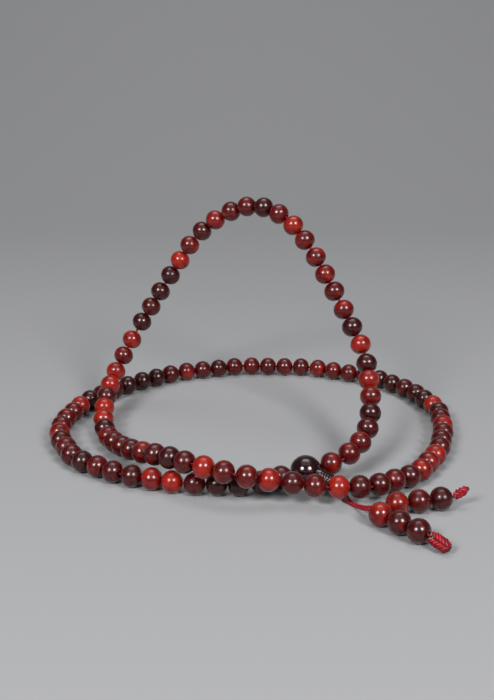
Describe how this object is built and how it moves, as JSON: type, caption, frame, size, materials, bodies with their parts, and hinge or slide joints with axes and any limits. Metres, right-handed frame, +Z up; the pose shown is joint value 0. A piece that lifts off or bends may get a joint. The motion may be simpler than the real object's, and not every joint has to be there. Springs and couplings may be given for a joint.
{
  "type": "prayer beads",
  "caption": "Long string of round polished red wood prayer beads with a larger guru bead, a turned finial and short knotted counter strands.",
  "frame": {"origin": "on the table, under the middle of the laid-out strand without its counter strands", "axes": "+X to the right along the strand's longest side, +Y away from the counter strands, +Z up"},
  "size_m": [0.158, 0.1781, 0.0884],
  "materials": {
    "bead_wood": "polished, oiled red sandalwood, each bead its own tone",
    "dark_wood": "polished to a high gloss, dark purple-brown",
    "cord": "twisted satin cord with a soft sheen"
  },
  "bodies": {
    "strand": {"main_cord": "cord", "guru_bead": "dark_wood", "finial": "dark_wood", "finial_cords": "cord"},
    "arch_legs": {"arch_leg_cords": "cord"},
    "arch_top": {"arch_top_cord": "cord"},
    "counter_a": {"counter_a_cord": "cord", "counter_a_knot": "cord"},
    "counter_b": {"counter_b_cord": "cord", "counter_b_knot": "cord"},
    "counter_a_bead_1": {"counter_a_bead_1": "bead_wood"},
    "counter_a_bead_2": {"counter_a_bead_2": "bead_wood"},
    "counter_a_bead_3": {"counter_a_bead_3": "bead_wood"},
    "counter_b_bead_1": {"counter_b_bead_1": "bead_wood"},
    "counter_b_bead_2": {"counter_b_bead_2": "bead_wood"},
    "counter_b_bead_3": {"counter_b_bead_3": "bead_wood"},
    "bead_1": {"bead_1": "bead_wood"},
    "beads_2_to_3": {"beads_2_to_3": "bead_wood"},
    "beads_4_to_5": {"beads_4_to_5": "bead_wood"},
    "beads_6_to_8": {"beads_6_to_8": "bead_wood"},
    "beads_9_to_11": {"beads_9_to_11": "bead_wood"},
    "beads_12_to_14": {"beads_12_to_14": "bead_wood"},
    "beads_15_to_16": {"beads_15_to_16": "bead_wood"},
    "beads_17_to_18": {"beads_17_to_18": "bead_wood"},
    "beads_19_to_20": {"beads_19_to_20": "bead_wood"},
    "beads_21_to_22": {"beads_21_to_22": "bead_wood"},
    "beads_23_to_25": {"beads_23_to_25": "bead_wood"},
    "beads_26_to_28": {"beads_26_to_28": "bead_wood"},
    "beads_29_to_30": {"beads_29_to_30": "bead_wood"},
    "bead_31": {"bead_31": "bead_wood"},
    "bead_32": {"bead_32": "bead_wood"},
    "beads_33_to_34": {"beads_33_to_34": "bead_wood"},
    "beads_35_to_36": {"beads_35_to_36": "bead_wood"},
    "beads_37_to_38": {"beads_37_to_38": "bead_wood"},
    "beads_39_to_40": {"beads_39_to_40": "bead_wood"},
    "beads_41_to_42": {"beads_41_to_42": "bead_wood"},
    "beads_43_to_44": {"beads_43_to_44": "bead_wood"},
    "beads_45_to_46": {"beads_45_to_46": "bead_wood"},
    "beads_47_to_48": {"beads_47_to_48": "bead_wood"},
    "beads_49_to_50": {"beads_49_to_50": "bead_wood"},
    "beads_51_to_52": {"beads_51_to_52": "bead_wood"},
    "beads_53_to_55": {"beads_53_to_55": "bead_wood"},
    "beads_56_to_58": {"beads_56_to_58": "bead_wood"},
    "beads_59_to_61": {"beads_59_to_61": "bead_wood"},
    "beads_62_to_64": {"beads_62_to_64": "bead_wood"},
    "beads_65_to_67": {"beads_65_to_67": "bead_wood"},
    "beads_68_to_70": {"beads_68_to_70": "bead_wood"},
    "beads_71_to_74": {"beads_71_to_74": "bead_wood"},
    "beads_75_to_78": {"beads_75_to_78": "bead_wood"},
    "beads_79_to_82": {"beads_79_to_82": "bead_wood"},
    "beads_83_to_85": {"beads_83_to_85": "bead_wood"},
    "beads_86_to_87": {"beads_86_to_87": "bead_wood"},
    "beads_88_to_89": {"beads_88_to_89": "bead_wood"},
    "beads_90_to_92": {"beads_90_to_92": "bead_wood"},
    "beads_93_to_94": {"beads_93_to_94": "bead_wood"},
    "beads_95_to_97": {"beads_95_to_97": "bead_wood"},
    "beads_98_to_100": {"beads_98_to_100": "bead_wood"},
    "beads_101_to_103": {"beads_101_to_103": "bead_wood"},
    "beads_104_to_106": {"beads_104_to_106": "bead_wood"},
    "beads_107_to_108": {"beads_107_to_108": "bead_wood"}
  },
  "joints": [
    {"name": "arch_fold", "type": "hinge", "parent": "strand", "child": "arch_legs", "pos_m": [0.03089, -0.04904, 0.00796], "axis": [-0.8734, 0.4868, -0.0163], "range_deg": [-15, 14]},
    {"name": "arch_top_fold", "type": "hinge", "parent": "arch_legs", "child": "arch_top", "pos_m": [0.04288, -0.00436, 0.03272], "axis": [-0.9185, 0.395, -0.0172], "range_deg": [-25, 50]},
    {"name": "counter_a_swing", "type": "hinge", "parent": "strand", "child": "counter_a", "pos_m": [0.02895, -0.06072, 0.00327], "axis": [0, 0, 1], "range_deg": [-25, 0]},
    {"name": "counter_b_swing", "type": "hinge", "parent": "strand", "child": "counter_b", "pos_m": [0.02895, -0.06072, 0.00327], "axis": [0, 0, 1], "range_deg": [0, 14]},
    {"name": "turn_counter_a_bead_1", "type": "hinge", "parent": "counter_a", "child": "counter_a_bead_1", "pos_m": [0.04007, -0.08361, 0.004], "axis": [0.6712, -0.7413, 0], "continuous": true},
    {"name": "turn_counter_a_bead_2", "type": "hinge", "parent": "counter_a", "child": "counter_a_bead_2", "pos_m": [0.0453, -0.08939, 0.004], "axis": [0.6712, -0.7413, 0], "continuous": true},
    {"name": "turn_counter_a_bead_3", "type": "hinge", "parent": "counter_a", "child": "counter_a_bead_3", "pos_m": [0.05054, -0.09517, 0.004], "axis": [0.6712, -0.7413, 0], "continuous": true},
    {"name": "turn_counter_b_bead_1", "type": "hinge", "parent": "counter_b", "child": "counter_b_bead_1", "pos_m": [0.04644, -0.07568, 0.004], "axis": [0.9707, 0.2402, 0], "continuous": true},
    {"name": "turn_counter_b_bead_2", "type": "hinge", "parent": "counter_b", "child": "counter_b_bead_2", "pos_m": [0.05401, -0.07381, 0.004], "axis": [0.9707, 0.2402, 0], "continuous": true},
    {"name": "turn_counter_b_bead_3", "type": "hinge", "parent": "counter_b", "child": "counter_b_bead_3", "pos_m": [0.06158, -0.07193, 0.004], "axis": [0.9707, 0.2402, 0], "continuous": true},
    {"name": "turn_bead_1", "type": "hinge", "parent": "strand", "child": "bead_1", "pos_m": [0.02435, -0.05083, 0.00673], "axis": [0.949, 0.2598, 0.1784], "continuous": true},
    {"name": "turn_beads_2_to_3", "type": "hinge", "parent": "arch_legs", "child": "beads_2_to_3", "pos_m": [0.0356, -0.04297, 0.00998], "axis": [0.5934, 0.7638, 0.254], "continuous": true},
    {"name": "turn_beads_4_to_5", "type": "hinge", "parent": "arch_legs", "child": "beads_4_to_5", "pos_m": [0.04195, -0.03009, 0.01545], "axis": [0.2084, 0.8723, 0.4424], "continuous": true},
    {"name": "turn_beads_6_to_8", "type": "hinge", "parent": "arch_legs", "child": "beads_6_to_8", "pos_m": [0.04323, -0.01382, 0.02581], "axis": [-0.0293, 0.8072, 0.5895], "continuous": true},
    {"name": "turn_beads_9_to_11", "type": "hinge", "parent": "arch_top", "child": "beads_9_to_11", "pos_m": [0.03803, 0.00072, 0.04211], "axis": [-0.414, 0.4334, 0.8005], "continuous": true},
    {"name": "turn_beads_12_to_14", "type": "hinge", "parent": "arch_top", "child": "beads_12_to_14", "pos_m": [0.02769, 0.00907, 0.06115], "axis": [-0.474, 0.2826, 0.8339], "continuous": true},
    {"name": "turn_beads_15_to_16", "type": "hinge", "parent": "arch_top", "child": "beads_15_to_16", "pos_m": [0.01767, 0.01579, 0.07614], "axis": [-0.5804, 0.4413, 0.6843], "continuous": true},
    {"name": "turn_beads_17_to_18", "type": "hinge", "parent": "arch_top", "child": "beads_17_to_18", "pos_m": [0.00697, 0.02355, 0.08346], "axis": [-0.7924, 0.5541, 0.255], "continuous": true},
    {"name": "turn_beads_19_to_20", "type": "hinge", "parent": "arch_top", "child": "beads_19_to_20", "pos_m": [-0.00586, 0.03105, 0.0829], "axis": [-0.8524, 0.4076, -0.3276], "continuous": true},
    {"name": "turn_beads_21_to_22", "type": "hinge", "parent": "arch_top", "child": "beads_21_to_22", "pos_m": [-0.01825, 0.03582, 0.07531], "axis": [-0.7363, 0.2035, -0.6453], "continuous": true},
    {"name": "turn_beads_23_to_25", "type": "hinge", "parent": "arch_top", "child": "beads_23_to_25", "pos_m": [-0.03028, 0.03725, 0.06056], "axis": [-0.5429, -0.0136, -0.8397], "continuous": true},
    {"name": "turn_beads_26_to_28", "type": "hinge", "parent": "arch_top", "child": "beads_26_to_28", "pos_m": [-0.04274, 0.0361, 0.04092], "axis": [-0.5267, -0.0843, -0.8458], "continuous": true},
    {"name": "turn_beads_29_to_30", "type": "hinge", "parent": "arch_legs", "child": "beads_29_to_30", "pos_m": [-0.05257, 0.03286, 0.02431], "axis": [-0.4603, -0.2842, -0.841], "continuous": true},
    {"name": "turn_bead_31", "type": "hinge", "parent": "arch_legs", "child": "bead_31", "pos_m": [-0.05737, 0.02744, 0.01541], "axis": [-0.2814, -0.7848, -0.5521], "continuous": true},
    {"name": "turn_bead_32", "type": "hinge", "parent": "arch_legs", "child": "bead_32", "pos_m": [-0.05899, 0.02052, 0.01184], "axis": [-0.1212, -0.9344, -0.3349], "continuous": true},
    {"name": "turn_beads_33_to_34", "type": "hinge", "parent": "arch_legs", "child": "beads_33_to_34", "pos_m": [-0.05957, 0.00909, 0.00838], "axis": [-0.0119, -0.964, -0.2658], "continuous": true},
    {"name": "turn_beads_35_to_36", "type": "hinge", "parent": "strand", "child": "beads_35_to_36", "pos_m": [-0.05825, -0.00631, 0.00513], "axis": [0.1782, -0.9737, -0.1424], "continuous": true},
    {"name": "turn_beads_37_to_38", "type": "hinge", "parent": "strand", "child": "beads_37_to_38", "pos_m": [-0.05366, -0.02115, 0.00464], "axis": [0.4066, -0.9099, 0.0816], "continuous": true},
    {"name": "turn_beads_39_to_40", "type": "hinge", "parent": "strand", "child": "beads_39_to_40", "pos_m": [-0.04633, -0.0347, 0.00662], "axis": [0.5336, -0.828, 0.1726], "continuous": true},
    {"name": "turn_beads_41_to_42", "type": "hinge", "parent": "strand", "child": "beads_41_to_42", "pos_m": [-0.03713, -0.04689, 0.00962], "axis": [0.6453, -0.7339, 0.2122], "continuous": true},
    {"name": "turn_beads_43_to_44", "type": "hinge", "parent": "strand", "child": "beads_43_to_44", "pos_m": [-0.02645, -0.05795, 0.01188], "axis": [0.7244, -0.685, 0.0782], "continuous": true},
    {"name": "turn_beads_45_to_46", "type": "hinge", "parent": "strand", "child": "beads_45_to_46", "pos_m": [-0.01371, -0.06651, 0.01203], "axis": [0.9093, -0.4119, -0.0597], "continuous": true},
    {"name": "turn_beads_47_to_48", "type": "hinge", "parent": "strand", "child": "beads_47_to_48", "pos_m": [0.00096, -0.06881, 0.00994], "axis": [0.971, 0.117, -0.2086], "continuous": true},
    {"name": "turn_beads_49_to_50", "type": "hinge", "parent": "strand", "child": "beads_49_to_50", "pos_m": [0.01623, -0.06904, 0.00782], "axis": [0.9873, -0.146, -0.0624], "continuous": true},
    {"name": "turn_beads_51_to_52", "type": "hinge", "parent": "strand", "child": "beads_51_to_52", "pos_m": [0.0315, -0.06842, 0.00658], "axis": [0.9694, 0.225, -0.0977], "continuous": true},
    {"name": "turn_beads_53_to_55", "type": "hinge", "parent": "strand", "child": "beads_53_to_55", "pos_m": [0.04793, -0.05929, 0.00491], "axis": [0.7667, 0.6372, -0.0783], "continuous": true},
    {"name": "turn_beads_56_to_58", "type": "hinge", "parent": "strand", "child": "beads_56_to_58", "pos_m": [0.06232, -0.04174, 0.004], "axis": [0.4765, 0.8791, 0], "continuous": true},
    {"name": "turn_beads_59_to_61", "type": "hinge", "parent": "strand", "child": "beads_59_to_61", "pos_m": [0.07074, -0.02036, 0.004], "axis": [0.2508, 0.968, 0], "continuous": true},
    {"name": "turn_beads_62_to_64", "type": "hinge", "parent": "strand", "child": "beads_62_to_64", "pos_m": [0.07448, 0.00239, 0.004], "axis": [0.0721, 0.9974, 0], "continuous": true},
    {"name": "turn_beads_65_to_67", "type": "hinge", "parent": "strand", "child": "beads_65_to_67", "pos_m": [0.07157, 0.02489, 0.004], "axis": [-0.3238, 0.9461, 0], "continuous": true},
    {"name": "turn_beads_68_to_70", "type": "hinge", "parent": "strand", "child": "beads_68_to_70", "pos_m": [0.06068, 0.04495, 0.004], "axis": [-0.6167, 0.7872, 0], "continuous": true},
    {"name": "turn_beads_71_to_74", "type": "hinge", "parent": "strand", "child": "beads_71_to_74", "pos_m": [0.03983, 0.06097, 0.004], "axis": [-0.8931, 0.4499, 0], "continuous": true},
    {"name": "turn_beads_75_to_78", "type": "hinge", "parent": "strand", "child": "beads_75_to_78", "pos_m": [0.0108, 0.06886, 0.004], "axis": [-0.9979, 0.0642, 0], "continuous": true},
    {"name": "turn_beads_79_to_82", "type": "hinge", "parent": "strand", "child": "beads_79_to_82", "pos_m": [-0.01912, 0.06512, 0.004], "axis": [-0.9514, -0.3079, 0], "continuous": true},
    {"name": "turn_beads_83_to_85", "type": "hinge", "parent": "strand", "child": "beads_83_to_85", "pos_m": [-0.04276, 0.05316, 0.004], "axis": [-0.7807, -0.6249, 0], "continuous": true},
    {"name": "turn_beads_86_to_87", "type": "hinge", "parent": "strand", "child": "beads_86_to_87", "pos_m": [-0.05693, 0.04005, 0.004], "axis": [-0.6579, -0.7531, 0], "continuous": true},
    {"name": "turn_beads_88_to_89", "type": "hinge", "parent": "strand", "child": "beads_88_to_89", "pos_m": [-0.06612, 0.02752, 0.004], "axis": [-0.5211, -0.8535, 0], "continuous": true},
    {"name": "turn_beads_90_to_92", "type": "hinge", "parent": "strand", "child": "beads_90_to_92", "pos_m": [-0.07275, 0.00957, 0.004], "axis": [-0.2213, -0.9752, 0], "continuous": true},
    {"name": "turn_beads_93_to_94", "type": "hinge", "parent": "strand", "child": "beads_93_to_94", "pos_m": [-0.07476, -0.00949, 0.004], "axis": [0.071, -0.9975, 0], "continuous": true},
    {"name": "turn_beads_95_to_97", "type": "hinge", "parent": "strand", "child": "beads_95_to_97", "pos_m": [-0.06955, -0.02788, 0.004], "axis": [0.4015, -0.9159, 0], "continuous": true},
    {"name": "turn_beads_98_to_100", "type": "hinge", "parent": "strand", "child": "beads_98_to_100", "pos_m": [-0.05567, -0.04545, 0.004], "axis": [0.7983, -0.6023, 0], "continuous": true},
    {"name": "turn_beads_101_to_103", "type": "hinge", "parent": "strand", "child": "beads_101_to_103", "pos_m": [-0.03546, -0.05611, 0.004], "axis": [0.9477, -0.3193, 0], "continuous": true},
    {"name": "turn_beads_104_to_106", "type": "hinge", "parent": "strand", "child": "beads_104_to_106", "pos_m": [-0.01293, -0.06044, 0.004], "axis": [0.9985, -0.055, 0], "continuous": true},
    {"name": "turn_beads_107_to_108", "type": "hinge", "parent": "strand", "child": "beads_107_to_108", "pos_m": [0.00822, -0.05685, 0.00475], "axis": [0.9126, 0.4026, 0.0713], "continuous": true}
  ]
}
